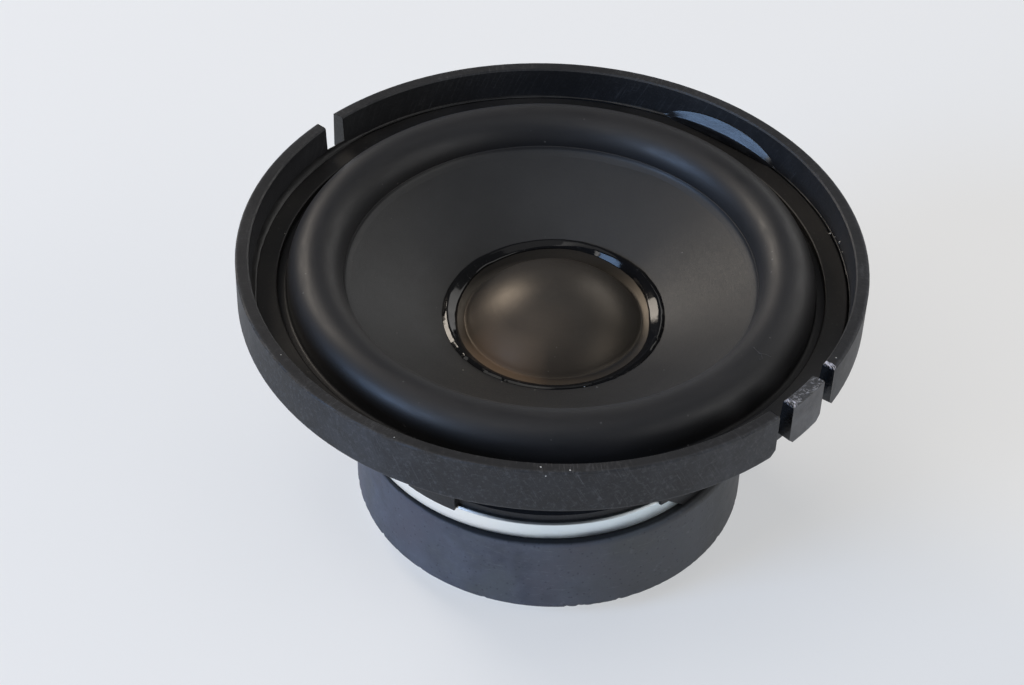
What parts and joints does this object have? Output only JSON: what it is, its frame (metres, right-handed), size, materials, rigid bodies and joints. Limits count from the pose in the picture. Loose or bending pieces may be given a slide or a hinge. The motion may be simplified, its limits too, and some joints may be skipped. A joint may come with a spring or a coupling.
{
  "type": "dashboard speaker",
  "caption": "Round loudspeaker driver for a dashboard: keyed rim, rubber half-roll surround, paper cone with a dust cap, moulded basket, ring magnet and push-on tabs.",
  "frame": {"origin": "centre of the yoke's back face, on the driver's axis", "axes": "+Z along the driver's axis from the magnet towards the listener, +X to the right as seen in the picture, +Y away from the camera"},
  "size_m": [0.1, 0.1, 0.0516],
  "materials": {
    "basket_plastic": "satin charcoal black, finely scuffed",
    "ring_plastic": "satin",
    "surround_rubber": "satin",
    "cone_paper": "matte pressed paper",
    "cap_paper": "satin pressed paper",
    "black_glue": "glossy",
    "former_sheet": "satin",
    "copper_wire": "lacquered",
    "spider_cloth": "impregnated cloth",
    "lead_braid": "braided",
    "board_fibre": "matte fibre board",
    "tinned_metal": "tinned",
    "rivet_brass": "plain",
    "screw_steel": "zinc plated",
    "zinc_plate": "bright zinc plated",
    "ferrite": "matte ferrite",
    "yoke_steel": "zinc plated"
  },
  "bodies": {
    "chassis": {"basket": "basket_plastic", "clamp_ring": "ring_plastic", "surround": "surround_rubber", "spider": "spider_cloth", "lead_plus": "lead_braid", "lead_minus": "lead_braid", "terminal_board": "board_fibre", "terminal_plus": "tinned_metal", "terminal_minus": "tinned_metal", "terminal_rivets": "rivet_brass", "board_screw": "screw_steel", "front_plate": "zinc_plate", "magnet": "ferrite", "yoke": "yoke_steel", "plate_screws": "screw_steel"},
    "moving_assembly": {"cone": "cone_paper", "dust_cap": "cap_paper", "dust_cap_glue": "black_glue", "neck_glue": "black_glue", "coil_former": "former_sheet", "coil_winding": "copper_wire", "coil_tails": "copper_wire", "spider_glue": "black_glue", "lead_dabs": "black_glue"}
  },
  "joints": [
    {"name": "cone_travel", "type": "slide", "parent": "chassis", "child": "moving_assembly", "axis": [0, 0, 1], "range_m": [-0.003, 0.003], "stiffness_N_per_m": 1500, "deforming": ["surround", "spider", "lead_plus", "lead_minus"]}
  ]
}
